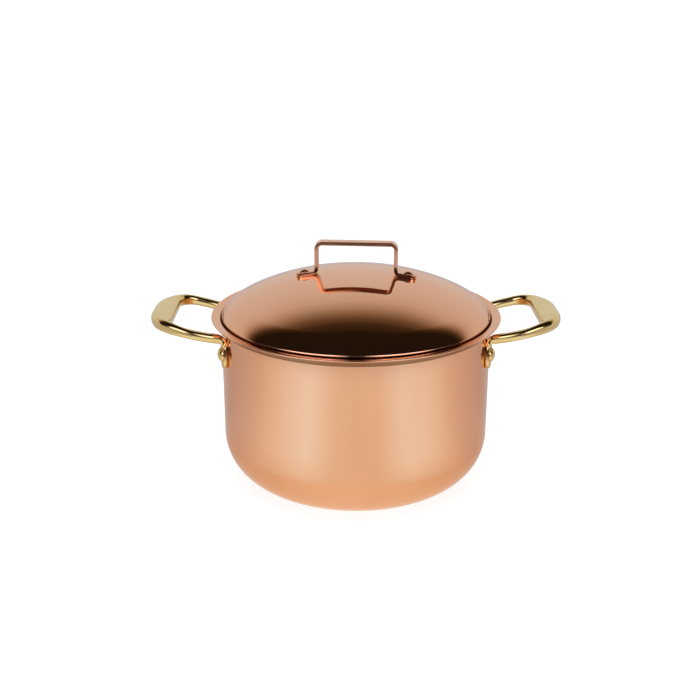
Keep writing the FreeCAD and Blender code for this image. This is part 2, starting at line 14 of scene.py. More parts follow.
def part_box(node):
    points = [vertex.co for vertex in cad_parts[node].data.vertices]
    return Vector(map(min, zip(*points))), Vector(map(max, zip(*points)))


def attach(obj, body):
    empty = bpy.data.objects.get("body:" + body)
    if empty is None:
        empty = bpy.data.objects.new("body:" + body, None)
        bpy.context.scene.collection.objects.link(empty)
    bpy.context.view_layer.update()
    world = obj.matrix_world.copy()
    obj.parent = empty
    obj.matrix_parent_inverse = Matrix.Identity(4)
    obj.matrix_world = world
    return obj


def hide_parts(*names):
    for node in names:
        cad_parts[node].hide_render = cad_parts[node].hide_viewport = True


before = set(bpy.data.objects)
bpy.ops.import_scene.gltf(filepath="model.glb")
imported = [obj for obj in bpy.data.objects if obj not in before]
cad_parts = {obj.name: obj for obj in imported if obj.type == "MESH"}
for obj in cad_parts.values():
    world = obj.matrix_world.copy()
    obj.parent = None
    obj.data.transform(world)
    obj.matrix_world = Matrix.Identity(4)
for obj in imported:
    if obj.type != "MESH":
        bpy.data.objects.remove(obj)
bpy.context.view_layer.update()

MM = 0.001
UP = Vector((0, 0, 1))

# the pot
POT_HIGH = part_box("pot_shell")[1]
RIM_RADIUS = POT_HIGH.x
RIM_HEIGHT = POT_HIGH.z
WALL_RADIUS = 122.0 * MM
CORNER_RADIUS = 45.0 * MM
RIM_SLOPE = math.radians(8)
RIM_BEND = 3.0 * MM
COPPER_THICK = 1.4 * MM
LINING_THICK = 0.6 * MM
LINING_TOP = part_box("pot_lining")[1].z

# the lid
LID_LOW, LID_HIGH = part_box("lid_shell")
LID_RADIUS = 121.3 * MM
LID_EDGE_HEIGHT = LID_LOW.z
LID_TOP_HEIGHT = LID_HIGH.z
CROWN_RADIUS = 280.0 * MM
CROWN_REACH = 52.0 * MM
CROWN_CENTRE_HEIGHT = LID_TOP_HEIGHT - CROWN_RADIUS
DOME_RADIUS = 200.0 * MM
DOME_REACH = 105.5 * MM
SHOULDER_RADIUS = 44.0 * MM
KNUCKLE_RADIUS = 2.0 * MM
LID_THICK = 1.2 * MM
LID_LINING_THICK = 0.5 * MM
LID_LINING_LIFT = 1.0 * MM
LID_TURN = math.radians(-4.3)

# the lid's strap handle and its rivets
STRAP_WIDTH = 10.0 * MM
STRAP_THICK = 3.5 * MM
STRAP_HALF_SPAN = 37.2 * MM
STRAP_TOP_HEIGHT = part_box("lid_handle")[1].z
STRAP_TOP_BEND = 3.4 * MM
STRAP_FOOT_BEND = 2.6 * MM
STRAP_FOOT_END = 7.4 * MM
STRAP_EDGE = 0.4 * MM
LID_RIVET_REACH = 46.5 * MM
LID_RIVET_HEAD = (4.5 * MM, 2.4 * MM)
LID_RIVET_TAIL = (3.5 * MM, 1.1 * MM)
LID_RIVET_SHANK = 1.7 * MM

# the cast side handles and their rivets
GRIP_OUTER_REACH = 183.8 * MM
GRIP_INNER_REACH = 163.5 * MM
GRIP_OUTER_CORNER = 42.0 * MM
GRIP_INNER_CORNER = 14.0 * MM
GRIP_HEIGHT = 155.1 * MM
GRIP_THICK = 12.0 * MM
GRIP_ROUND = 4.4 * MM
GRIP_CROWN = 0.8 * MM
ARM_OFFSET = 48.0 * MM
ARM_WIDTH = 8.2 * MM
ARM_THICK = 8.3 * MM
ARM_ROUND = 3.4 * MM
ARM_DIP = math.radians(13.2)
ARM_DIP_RUN = 20.0 * MM
FOOT_OFFSET = 42.3 * MM
FOOT_BEND = 6.8 * MM
FOOT_WIDTH = 12.0 * MM
FOOT_THICK = 3.8 * MM
FOOT_ROUND = 1.5 * MM
FOOT_TIP_HEIGHT = 117.4 * MM
FOOT_REACH = WALL_RADIUS + FOOT_THICK / 2
FOOT_AZIMUTH = math.asin(FOOT_OFFSET / FOOT_REACH)
RIVET_HEIGHT = 130.1 * MM
RIVET_HEAD = (6.7 * MM, 3.8 * MM)
RIVET_TAIL = (6.0 * MM, 1.6 * MM)
RIVET_SHANK = 2.15 * MM

# how finely the curved forms are divided
LATHE_STEPS = 256
RIVET_STEPS = 64
FINE = 0.25 * MM
COARSE = 2.0 * MM


# ---- outlines --------------------------------------------------------------------------------

class Outline:
    """A path in a flat section, drawn like a pencil line: straight runs and turns about a centre."""

    def __init__(self, x, z):
        self.points = [(x, z)]

    def line(self, x, z, spacing=COARSE):
        start_x, start_z = self.points[-1]
        length = math.hypot(x - start_x, z - start_z)
        count = max(1, round(length / spacing))
        for index in range(1, count + 1):
            share = index / count
            self.points.append((start_x + (x - start_x) * share, start_z + (z - start_z) * share))
        return self

    def turn(self, centre_x, centre_z, degrees, spacing=COARSE):
        start_x, start_z = self.points[-1]
        arm_x = start_x - centre_x
        arm_z = start_z - centre_z
        length = abs(math.radians(degrees)) * math.hypot(arm_x, arm_z)
        count = max(8, round(length / spacing))
        for index in range(1, count + 1):
            angle = math.radians(degrees) * index / count
            self.points.append((centre_x + arm_x * math.cos(angle) - arm_z * math.sin(angle),
                                centre_z + arm_x * math.sin(angle) + arm_z * math.cos(angle)))
        return self


# ---- meshes ----------------------------------------------------------------------------------

def mesh_piece(name, points, faces):
    mesh = bpy.data.meshes.new(name)
    mesh.from_pydata(points, [], faces)
    mesh.validate()
    mesh.shade_smooth()
    piece = bpy.data.objects.new(name, mesh)
    bpy.context.scene.collection.objects.link(piece)
    return piece


def lathe(name, outline, steps=LATHE_STEPS, placement=Matrix.Identity(4)):
    """Spin a section about Z.  A point on the axis becomes a single vertex."""
    on_axis = 1e-7
    points = []
    rings = []
    for radius, height in outline.points:
        if abs(radius) < on_axis:
            rings.append([len(points)])
            points.append(placement @ Vector((0, 0, height)))
            continue
        rings.append(list(range(len(points), len(points) + steps)))
        for step in range(steps):
            angle = 2 * math.pi * step / steps
            spoke = Vector((radius * math.cos(angle), radius * math.sin(angle), height))
            points.append(placement @ spoke)
    faces = []
    for ring, following in zip(rings, rings[1:]):
        for step in range(steps):
            after = (step + 1) % steps
            if len(ring) == 1:
                faces.append((ring[0], following[after], following[step]))
            elif len(following) == 1:
                faces.append((ring[step], ring[after], following[0]))
            else:
                faces.append((ring[step], ring[after], following[after], following[step]))
    return mesh_piece(name, points, faces)


def rounded_ring(middle, across, up, width, thick, corner, crown=0.0, corner_steps=6, flat_steps=5):
    """The points of a rectangle with round corners, anticlockwise from its right-hand side.

    Its top and bottom may be crowned: highest along the middle, lower by the crown at the sides.
    """
    corner = min(corner, 0.499 * width, 0.499 * thick)
    flat_x = width / 2 - corner
    flat_z = thick / 2 - corner
    corners = []
    for quarter, (side_x, side_z) in enumerate(((1, 1), (-1, 1), (-1, -1), (1, -1))):
        for step in range(corner_steps + 1):
            angle = (quarter + step / corner_steps) * math.pi / 2
            corners.append((side_x * flat_x + corner * math.cos(angle),
                            side_z * flat_z + corner * math.sin(angle)))
    flat = []
    for index, (x, z) in enumerate(corners):
        flat.append((x, z))
        if (index + 1) % (corner_steps + 1):
            continue
        next_x, next_z = corners[(index + 1) % len(corners)]
        for step in range(1, flat_steps + 1):
            share = step / (flat_steps + 1)
            flat.append((x + (next_x - x) * share, z + (next_z - z) * share))
    crowned = [(x, z * (1 - crown * (2 * x / width) ** 2 / (thick / 2))) for x, z in flat]
    return [middle + across * x + up * z for x, z in crowned]


def loft(name, rings):
    """A skin through rings of equally many points, closed at both ends."""
    size = len(rings[0])
    points = [point for ring in rings for point in ring]
    faces = []
    for index in range(len(rings) - 1):
        base = index * size
        for step in range(size):
            after = (step + 1) % size
            faces.append((base + step, base + after, base + size + after, base + size + step))
    for ring_start, backwards in ((0, True), (len(points) - size, False)):
        middle = sum((points[ring_start + step] for step in range(size)), Vector()) / size
        points.append(middle)
        for step in range(size):
            after = (step + 1) % size
            face = (ring_start + step, ring_start + after, len(points) - 1)
            faces.append(face[::-1] if backwards else face)
    return mesh_piece(name, points, faces)


def smooth_step(value):
    value = min(1.0, max(0.0, value))
    return value * value * (3 - 2 * value)


def mix(first, second, share):
    return first + (second - first) * share


# ---- the pot and the lid ---------------------------------------------------------------------

def rim_bend_centre():
    """The flare turns about this point, which lies outside the wall and under the flange."""
    under_x = RIM_RADIUS + COPPER_THICK * math.sin(RIM_SLOPE)
    under_z = RIM_HEIGHT - COPPER_THICK * math.cos(RIM_SLOPE)
    bend_x = WALL_RADIUS + RIM_BEND
    run = under_x - bend_x
    return bend_x, under_z - (run * math.sin(RIM_SLOPE) + RIM_BEND) / math.cos(RIM_SLOPE)


def make_pot_shell():
    corner_x = WALL_RADIUS - CORNER_RADIUS
    bend_x, bend_z = rim_bend_centre()
    flare_degrees = 90 - math.degrees(RIM_SLOPE)
    half = COPPER_THICK / 2
    along = Vector((math.cos(RIM_SLOPE), math.sin(RIM_SLOPE)))
    square = Vector((-math.sin(RIM_SLOPE), math.cos(RIM_SLOPE)))
    lip = Vector((RIM_RADIUS, RIM_HEIGHT)) - square * half - along * half
    under = lip - square * half
    outline = Outline(0, 0)
    outline.line(corner_x, 0)
    outline.turn(corner_x, CORNER_RADIUS, 90)
    outline.line(WALL_RADIUS, bend_z)
    outline.turn(bend_x, bend_z, -flare_degrees, FINE)
    outline.line(under.x, under.y, FINE * 2)
    outline.turn(lip.x, lip.y, 180, FINE / 2)
    top_bend = RIM_BEND + COPPER_THICK
    outline.line(bend_x - top_bend * math.sin(RIM_SLOPE), bend_z + top_bend * math.cos(RIM_SLOPE), FINE * 2)
    outline.turn(bend_x, bend_z, flare_degrees, FINE)
    outline.line(WALL_RADIUS - COPPER_THICK, CORNER_RADIUS)
    outline.turn(corner_x, CORNER_RADIUS, -90)
    outline.line(0, COPPER_THICK)
    return lathe("pot_shell_spun", outline)


def make_pot_lining():
    corner_x = WALL_RADIUS - CORNER_RADIUS
    outer = WALL_RADIUS - COPPER_THICK
    half = LINING_THICK / 2
    outline = Outline(0, COPPER_THICK)
    outline.line(corner_x, COPPER_THICK)
    outline.turn(corner_x, CORNER_RADIUS, 90)
    outline.line(outer, LINING_TOP - half)
    outline.turn(outer - half, LINING_TOP - half, 180, FINE / 2)
    outline.line(outer - LINING_THICK, CORNER_RADIUS)
    outline.turn(corner_x, CORNER_RADIUS, -90)
    outline.line(0, COPPER_THICK + LINING_THICK)
    return lathe("pot_lining_spun", outline)


def dome_outline(depth, thick, edge_height):
    """A dome shell whose outside lies a given depth under the lid's outside."""
    # two arcs touch on the line through both their centres, so each turn ends at its neighbour's slope
    crown_slope = math.asin(CROWN_REACH / CROWN_RADIUS)
    dome_x = (CROWN_RADIUS - DOME_RADIUS) * math.sin(crown_slope)
    dome_z = CROWN_CENTRE_HEIGHT + (CROWN_RADIUS - DOME_RADIUS) * math.cos(crown_slope)
    dome_slope = math.asin((DOME_REACH - dome_x) / DOME_RADIUS)
    shoulder_x = dome_x + (DOME_RADIUS - SHOULDER_RADIUS) * math.sin(dome_slope)
    shoulder_z = dome_z + (DOME_RADIUS - SHOULDER_RADIUS) * math.cos(dome_slope)
    knuckle_x = LID_RADIUS - KNUCKLE_RADIUS
    shoulder_slope = math.asin((knuckle_x - shoulder_x) / (SHOULDER_RADIUS - KNUCKLE_RADIUS))
    knuckle_z = shoulder_z + (SHOULDER_RADIUS - KNUCKLE_RADIUS) * math.cos(shoulder_slope)
    slopes = [0.0, crown_slope, dome_slope, shoulder_slope, math.pi / 2]
    centres = [(0, CROWN_CENTRE_HEIGHT), (dome_x, dome_z), (shoulder_x, shoulder_z), (knuckle_x, knuckle_z)]
    turns = [math.degrees(after - before) for before, after in zip(slopes, slopes[1:])]
    spacings = [COARSE, COARSE, COARSE / 2, FINE / 2]
    outer_x = LID_RADIUS - depth
    half = thick / 2
    outline = Outline(0, LID_TOP_HEIGHT - depth)
    for centre, degrees, spacing in zip(centres, turns, spacings):
        outline.turn(*centre, -degrees, spacing)
    outline.line(outer_x, edge_height + half, FINE * 2)
    outline.turn(outer_x - half, edge_height + half, -180, FINE / 2)
    outline.line(outer_x - thick, knuckle_z, FINE * 2)
    for centre, degrees, spacing in zip(centres[::-1], turns[::-1], spacings[::-1]):
        outline.turn(*centre, degrees, spacing)
    return outline


def make_lid_shell():
    return lathe("lid_shell_spun", dome_outline(0, LID_THICK, LID_EDGE_HEIGHT))


def make_lid_lining():
    outline = dome_outline(LID_THICK, LID_LINING_THICK, LID_EDGE_HEIGHT + LID_LINING_LIFT)
    return lathe("lid_lining_spun", outline)


# ---- rivets ----------------------------------------------------------------------------------

def rivet_outline(tail_seat, head_seat, shank, head, tail):
    """A set rivet: a shallow domed tail, the shank and a domed head with a thin upright edge."""
    head_radius, head_rise = head
    tail_radius, tail_rise = tail
    lip = 0.4 * MM
    head_crown = head_rise - lip
    head_sphere = (head_radius ** 2 + head_crown ** 2) / (2 * head_crown)
    tail_sphere = (tail_radius ** 2 + tail_rise ** 2) / (2 * tail_rise)
    head_degrees = math.degrees(math.asin(head_radius / head_sphere))
    tail_degrees = math.degrees(math.asin(tail_radius / tail_sphere))
    outline = Outline(0, tail_seat - tail_rise)
    outline.turn(0, tail_seat - tail_rise + tail_sphere, tail_degrees, FINE)
    outline.line(shank, tail_seat, FINE)
    outline.line(shank, head_seat)
    outline.line(head_radius - lip / 2, head_seat, FINE)
    outline.line(head_radius, head_seat + lip / 2, FINE / 2)
    outline.line(head_radius, head_seat + lip, FINE / 2)
    outline.turn(0, head_seat + head_rise - head_sphere, head_degrees, FINE)
    return outline


def make_side_rivet(name, azimuth):
    lining_inner = WALL_RADIUS - COPPER_THICK - LINING_THICK
    tail_seat = math.sqrt(lining_inner ** 2 - RIVET_TAIL[0] ** 2)
    outline = rivet_outline(tail_seat, WALL_RADIUS + FOOT_THICK, RIVET_SHANK, RIVET_HEAD, RIVET_TAIL)
    lie_flat = Matrix.Rotation(math.pi / 2, 4, "Y")
    placement = Matrix.Translation((0, 0, RIVET_HEIGHT)) @ Matrix.Rotation(azimuth, 4, "Z") @ lie_flat
    return lathe(name, outline, RIVET_STEPS, placement)


def make_lid_rivet(name, side):
    lining_inner = CROWN_RADIUS - LID_THICK - LID_LINING_THICK
    tail_seat = math.sqrt(lining_inner ** 2 - LID_RIVET_TAIL[0] ** 2)
    head_seat = CROWN_RADIUS + STRAP_THICK
    outline = rivet_outline(tail_seat, head_seat, LID_RIVET_SHANK, LID_RIVET_HEAD, LID_RIVET_TAIL)
    lean = Matrix.Rotation(side * math.asin(LID_RIVET_REACH / CROWN_RADIUS), 4, "Y")
    placement = Matrix.Translation((0, 0, CROWN_CENTRE_HEIGHT)) @ Matrix.Rotation(LID_TURN, 4, "Z") @ lean
    return lathe(name, outline, RIVET_STEPS, placement)


# ---- the strap handle ------------------------------------------------------------------------

def make_lid_handle():
    """A flat strap with eased edges, lofted from one foot's tip over the bar to the other's."""
    half = STRAP_THICK / 2
    tilt = math.asin(LID_RIVET_REACH / CROWN_RADIUS)
    reach = CROWN_RADIUS + half

    def on_foot(out):
        return (math.sin(tilt) * reach + math.cos(tilt) * out,
                CROWN_CENTRE_HEIGHT + math.cos(tilt) * reach - math.sin(tilt) * out)

    lower_radius = STRAP_FOOT_BEND + half
    lower_x = STRAP_HALF_SPAN + STRAP_FOOT_BEND
    lower_reach = CROWN_RADIUS + STRAP_THICK + STRAP_FOOT_BEND
    lower_z = CROWN_CENTRE_HEIGHT + (lower_reach - lower_x * math.sin(tilt)) / math.cos(tilt)
    upper_radius = STRAP_TOP_BEND + half
    upper_x = STRAP_HALF_SPAN - STRAP_THICK - STRAP_TOP_BEND
    upper_z = STRAP_TOP_HEIGHT - STRAP_THICK - STRAP_TOP_BEND
    tip_x, tip_z = on_foot(STRAP_FOOT_END)
    path = Outline(tip_x, tip_z)
    path.line(lower_x - lower_radius * math.sin(tilt), lower_z - lower_radius * math.cos(tilt), FINE)
    path.turn(lower_x, lower_z, math.degrees(tilt) - 90, FINE)
    path.line(STRAP_HALF_SPAN - half, upper_z, FINE * 4)
    path.turn(upper_x, upper_z, 90, FINE)
    path.line(0, STRAP_TOP_HEIGHT - half, FINE * 4)
    right = path.points
    line = right + [(-x, z) for x, z in right[-2::-1]]

    turned = Matrix.Rotation(LID_TURN, 4, "Z")
    rings = []
    travelled = 0.0
    tip_round = STRAP_WIDTH / 2
    length = sum(math.dist(a, b) for a, b in zip(line, line[1:]))
    for index, (x, z) in enumerate(line):
        before = line[max(0, index - 1)]
        after = line[min(len(line) - 1, index + 1)]
        if index:
            travelled += math.dist(before, (x, z))
        heading = Vector((after[0] - before[0], 0, after[1] - before[1])).normalized()
        out = heading.cross(Vector((0, 1, 0)))
        from_tip = min(travelled, length - travelled)
        shortfall = max(0.0, tip_round - from_tip - STRAP_EDGE * 0.2)
        width = 2 * math.sqrt(tip_round ** 2 - shortfall ** 2)
        middle = Vector((x, 0, z))
        ring = rounded_ring(middle, Vector((0, 1, 0)), out, width, STRAP_THICK, STRAP_EDGE)
        rings.append([turned @ point for point in ring])
    return loft("lid_handle_strap", rings)


# ---- the cast side handles -------------------------------------------------------------------

# how many sections the casting has along each stretch
GRIP_STATIONS = 14
CORNER_STATIONS = 40
ARM_STATIONS = 20
SWING_STATIONS = 16
BEND_STATIONS = 24
TONGUE_STATIONS = 30
# the foot's round tip is closed just before it would run out to a point
TONGUE_TURN = math.radians(86)
# the foot's inside is hollowed to this distance from the wall
WALL_GAP = 0.05 * MM


def shares(count):
    """Steps from 0 up to, but not including, 1."""
    return [index / count for index in range(count)]


class HandleLoop:
    """The right handle's rear half: its two edges in plan, its height and slope, and the arm's swing."""

    def __init__(self):
        self.outer_half = ARM_OFFSET + ARM_WIDTH / 2
        self.inner_half = ARM_OFFSET - ARM_WIDTH / 2
        self.outer_corner_x = GRIP_OUTER_REACH - GRIP_OUTER_CORNER
        self.outer_corner_y = self.outer_half - GRIP_OUTER_CORNER
        self.inner_corner_x = GRIP_INNER_REACH - GRIP_INNER_CORNER
        self.inner_corner_y = self.inner_half - GRIP_INNER_CORNER
        self.grip_middle_x = (GRIP_OUTER_REACH + GRIP_INNER_REACH) / 2
        # the arm swings in to arrive square to the wall, already dipping into the bend
        self.bend_reach = FOOT_REACH + FOOT_BEND
        arm_end_reach = self.bend_reach - FOOT_BEND * math.sin(ARM_DIP)
        sideways_move = ARM_OFFSET - arm_end_reach * math.sin(FOOT_AZIMUTH)
        self.swing_radius = sideways_move / (1 - math.cos(FOOT_AZIMUTH))
        self.swing_x = arm_end_reach * math.cos(FOOT_AZIMUTH) + self.swing_radius * math.sin(FOOT_AZIMUTH)
        self.swing_run = self.grip_middle_x - self.swing_x
        self.arm_end_height = self.height(self.swing_run + self.swing_radius * FOOT_AZIMUTH)

    def height(self, run):
        """The loop is level over the grip, then curves down into the arm's even slope."""
        curved = min(max(run, 0), ARM_DIP_RUN)
        straight = max(run - ARM_DIP_RUN, 0)
        return GRIP_HEIGHT - math.tan(ARM_DIP) * (curved ** 2 / (2 * ARM_DIP_RUN) + straight)

    def slope(self, run):
        return math.atan(math.tan(ARM_DIP) * min(max(run / ARM_DIP_RUN, 0), 1))

    def outer_x(self, y):
        rise = max(0.0, y - self.outer_corner_y)
        return self.outer_corner_x + math.sqrt(GRIP_OUTER_CORNER ** 2 - rise ** 2)

    def outer_y(self, x):
        run = max(0.0, x - self.outer_corner_x)
        return self.outer_corner_y + math.sqrt(GRIP_OUTER_CORNER ** 2 - run ** 2)

    def outer_from_corner(self, angle):
        """Where a ray from the inner corner's centre meets the outer corner's arc."""
        from_x = self.inner_corner_x - self.outer_corner_x
        from_y = self.inner_corner_y - self.outer_corner_y
        along = from_x * math.cos(angle) + from_y * math.sin(angle)
        reach = math.sqrt(along ** 2 + GRIP_OUTER_CORNER ** 2 - from_x ** 2 - from_y ** 2) - along
        return self.inner_corner_x + reach * math.cos(angle), self.inner_corner_y + reach * math.sin(angle)

    def edge_pairs(self):
        """Outer and inner points in plan, from the middle of the grip to where the arm swings in."""
        pairs = []
        for share in shares(GRIP_STATIONS):
            y = self.inner_corner_y * share
            pairs.append(((self.outer_x(y), y), (GRIP_INNER_REACH, y)))
        for share in shares(CORNER_STATIONS):
            angle = share * math.pi / 2
            inner = (self.inner_corner_x + GRIP_INNER_CORNER * math.cos(angle),
                     self.inner_corner_y + GRIP_INNER_CORNER * math.sin(angle))
            pairs.append((self.outer_from_corner(angle), inner))
        for share in shares(ARM_STATIONS):
            x = mix(self.inner_corner_x, self.swing_x, share)
            pairs.append(((x, self.outer_y(x)), (x, self.inner_half)))
        return pairs


def casting_loop_rings(loop):
    """From the middle of the grip round the corner and in along the arm."""
    rings = []
    for outer, inner in loop.edge_pairs():
        outer = Vector((*outer, loop.height(loop.grip_middle_x - outer[0])))
        inner = Vector((*inner, loop.height(loop.grip_middle_x - inner[0])))
        middle = (outer + inner) / 2
        run = loop.grip_middle_x - middle.x
        tilt = loop.slope(run)
        square = Vector((-math.sin(tilt), 0, math.cos(tilt)))
        share = smooth_step(run / loop.swing_run)
        thick = mix(GRIP_THICK, ARM_THICK, share)
        corner = mix(GRIP_ROUND, ARM_ROUND, share)
        crown = mix(GRIP_CROWN, 0, share)
        across = outer - inner
        width = across.length
        rings.append(rounded_ring(middle, across.normalized(), square, width, thick, corner, crown))
    return rings


def casting_swing_rings(loop):
    """The arm swings in until it is square to the wall, still dipping."""
    rings = []
    for share in shares(SWING_STATIONS):
        angle = FOOT_AZIMUTH * share
        middle = Vector((loop.swing_x - loop.swing_radius * math.sin(angle),
                         ARM_OFFSET - loop.swing_radius * (1 - math.cos(angle)),
                         loop.height(loop.swing_run + loop.swing_radius * angle)))
        inward = Vector((-math.cos(angle), -math.sin(angle), 0))
        across = Vector((-math.sin(angle), math.cos(angle), 0))
        square = inward * math.sin(ARM_DIP) + UP * math.cos(ARM_DIP)
        rings.append(rounded_ring(middle, across, square, ARM_WIDTH, ARM_THICK, ARM_ROUND))
    return rings


def casting_foot_rings(loop):
    """The arm bends down and spreads into the flat foot, which ends in a rounded tip."""
    outward = Vector((math.cos(FOOT_AZIMUTH), math.sin(FOOT_AZIMUTH), 0))
    across = Vector((-math.sin(FOOT_AZIMUTH), math.cos(FOOT_AZIMUTH), 0))
    bend_height = loop.arm_end_height - FOOT_BEND * math.cos(ARM_DIP)
    bend_centre = outward * loop.bend_reach + UP * bend_height
    rings = []
    for share in shares(BEND_STATIONS):
        turn = mix(ARM_DIP, math.pi / 2, share)
        square = UP * math.cos(turn) - outward * math.sin(turn)
        rings.append(rounded_ring(bend_centre + square * FOOT_BEND, across, square,
                                  mix(ARM_WIDTH, FOOT_WIDTH, share ** 3),
                                  mix(ARM_THICK, FOOT_THICK, share), mix(ARM_ROUND, FOOT_ROUND, share)))
    foot = outward * FOOT_REACH
    top = foot + UP * bend_height
    rings.append(rounded_ring(top, across, -outward, FOOT_WIDTH, FOOT_THICK, FOOT_ROUND))
    half = FOOT_WIDTH / 2
    for index in range(TONGUE_STATIONS + 1):
        angle = TONGUE_TURN * index / TONGUE_STATIONS
        middle = foot + UP * (FOOT_TIP_HEIGHT + half - half * math.sin(angle))
        width = FOOT_WIDTH * math.cos(angle)
        rings.append(rounded_ring(middle, across, -outward, width, FOOT_THICK, FOOT_ROUND))
    return rings


def make_side_handle(name, side):
    """One casting; the left one is the right one turned half round the pot."""
    loop = HandleLoop()
    rear = casting_loop_rings(loop) + casting_swing_rings(loop) + casting_foot_rings(loop)
    front = [[Vector((point.x, -point.y, point.z)) for point in ring] for ring in rear[:0:-1]]
    clear = WALL_RADIUS + WALL_GAP
    rings = []
    for ring in front + rear:
        fitted = []
        for point in ring:
            out = math.hypot(point.x, point.y)
            grow = max(1.0, clear / out)
            fitted.append(Vector((point.x * grow * side, point.y * grow * side, point.z)))
        rings.append(fitted)
    return loft(name, rings)


# ---- materials -------------------------------------------------------------------------------

class NodeTree:
    """Short ways to add nodes to a material or a world."""

    def __init__(self, tree):
        self.tree = tree

    def add(self, kind, **settings):
        node = self.tree.nodes.new(kind)
        for key, value in settings.items():
            setattr(node, key, value)
        return node

    def link(self, value, socket):
        """Connect an output to a socket, or set the socket to a plain number."""
        if isinstance(value, (int, float)):
            socket.default_value = value
        else:
            self.tree.links.new(value, socket)

    def coordinates(self, kind):
        return self.add("ShaderNodeTexCoord").outputs[kind]

    def split(self, vector):
        node = self.add("ShaderNodeSeparateXYZ")
        self.link(vector, node.inputs[0])
        return node.outputs

    def math(self, operation, first, second=0.0):
        node = self.add("ShaderNodeMath", operation=operation)
        self.link(first, node.inputs[0])
        self.link(second, node.inputs[1])
        return node.outputs[0]

    def hypotenuse(self, first, second):
        squares = [self.math("MULTIPLY", side, side) for side in (first, second)]
        return self.math("SQRT", self.math("ADD", *squares))

    def spread(self, value, low, high, start=0.3, end=0.7):
        """Map start ... end to low ... high and hold it beyond; a noise mostly lies in 0.3 ... 0.7."""
        node = self.add("ShaderNodeMapRange")
        self.link(value, node.inputs["Value"])
        for socket, number in (("From Min", start), ("From Max", end), ("To Min", low), ("To Max", high)):
            node.inputs[socket].default_value = number
        return node.outputs["Result"]

    def ramp(self, value, stops, whole=1.0):
        """A colour for each value: stops are (position, colour), with positions up to whole."""
        node = self.add("ShaderNodeValToRGB")
        elements = node.color_ramp.elements
        while len(elements) < len(stops):
            elements.new(0.5)
        for element, (position, colour) in zip(elements, stops):
            element.position = position / whole
            element.color = (*colour, 1)
        self.link(value, node.inputs["Fac"])
        return node.outputs["Color"]

    def mixed(self, factor, first, second):
        """First where the factor is 0, second where it is 1."""
        node = self.add("ShaderNodeMix", data_type="RGBA")
        for socket, value in zip((node.inputs[6], node.inputs[7]), (first, second)):
            if isinstance(value, tuple):
                socket.default_value = (*value, 1)
            else:
                self.link(value, socket)
        self.link(factor, node.inputs[0])
        return node.outputs[2]


class Metal(NodeTree):
    """A metal under construction: a Principled shader with procedural colour, haze and bump."""

    def __init__(self, name):
        self.material = bpy.data.materials.new(name)
        self.material.use_nodes = True
        super().__init__(self.material.node_tree)
        self.principled = self.tree.nodes["Principled BSDF"]
        self.principled.inputs["Metallic"].default_value = 1.0
        self.place = self.coordinates("Object")

    def noise(self, scale, detail=3.0, stretch=(1, 1, 1), vector=None):
        """Noise between 0 and 1; scale is in features per metre."""
        mapping = self.add("ShaderNodeMapping")
        mapping.inputs["Scale"].default_value = stretch
        self.link(vector or self.place, mapping.inputs["Vector"])
        texture = self.add("ShaderNodeTexNoise")
        texture.inputs["Scale"].default_value = scale
        texture.inputs["Detail"].default_value = detail
        self.link(mapping.outputs[0], texture.inputs["Vector"])
        return texture.outputs["Fac"]

    def around_axis(self):
        """Coordinates of spun metal: distance from the axis and height, but no angle."""
        x, y, z = self.split(self.place)
        join = self.add("ShaderNodeCombineXYZ")
        self.link(self.hypotenuse(x, y), join.inputs["X"])
        self.link(z, join.inputs["Z"])
        return join.outputs[0]

    def between(self, value, start, end, softness):
        """One between start and end, and nothing beyond."""
        risen = self.spread(value, 0, 1, start - softness, start)
        return self.math("MULTIPLY", risen, self.spread(value, 1, 0, end, end + softness))

    def set_colour(self, output):
        self.link(output, self.principled.inputs["Base Color"])

    def set_roughness(self, output):
        self.link(output, self.principled.inputs["Roughness"])

    def set_edge(self, colour):
        self.principled.inputs["Specular Tint"].default_value = (*colour, 1)

    def set_bump(self, height, strength, distance):
        node = self.add("ShaderNodeBump")
        node.inputs["Strength"].default_value = strength
        node.inputs["Distance"].default_value = distance
        self.link(height, node.inputs["Height"])
        self.link(node.outputs[0], self.principled.inputs["Normal"])


COPPER_LIGHT = (0.85, 0.455, 0.265)
COPPER_DEEP = (0.82, 0.42, 0.235)
# painted shade for the groove between the lid's edge and the pot's flare
COPPER_GROOVE_SHADE = (0.34, 0.15, 0.07)
# painted shade for the downward faces of the lid's strap and its rivets
COPPER_UNDERSIDE_SHADE = (0.20, 0.07, 0.03)
# what the copper's own colour fades to where it is seen almost edge-on
COPPER_EDGE = (1.0, 0.94, 0.90)
BRASS_LIGHT = (0.82, 0.60, 0.27)
BRASS_DEEP = (0.78, 0.55, 0.21)
STEEL_LIGHT = (0.66, 0.66, 0.65)
STEEL_DEEP = (0.54, 0.54, 0.53)
# the narrow groove between the lid's upright edge and the pot's flare, where the copper gets painted shade
GROOVE_RADII = (LID_RADIUS - 1 * MM, LID_RADIUS + 1.5 * MM)
GROOVE_SOFTNESS = 0.4 * MM


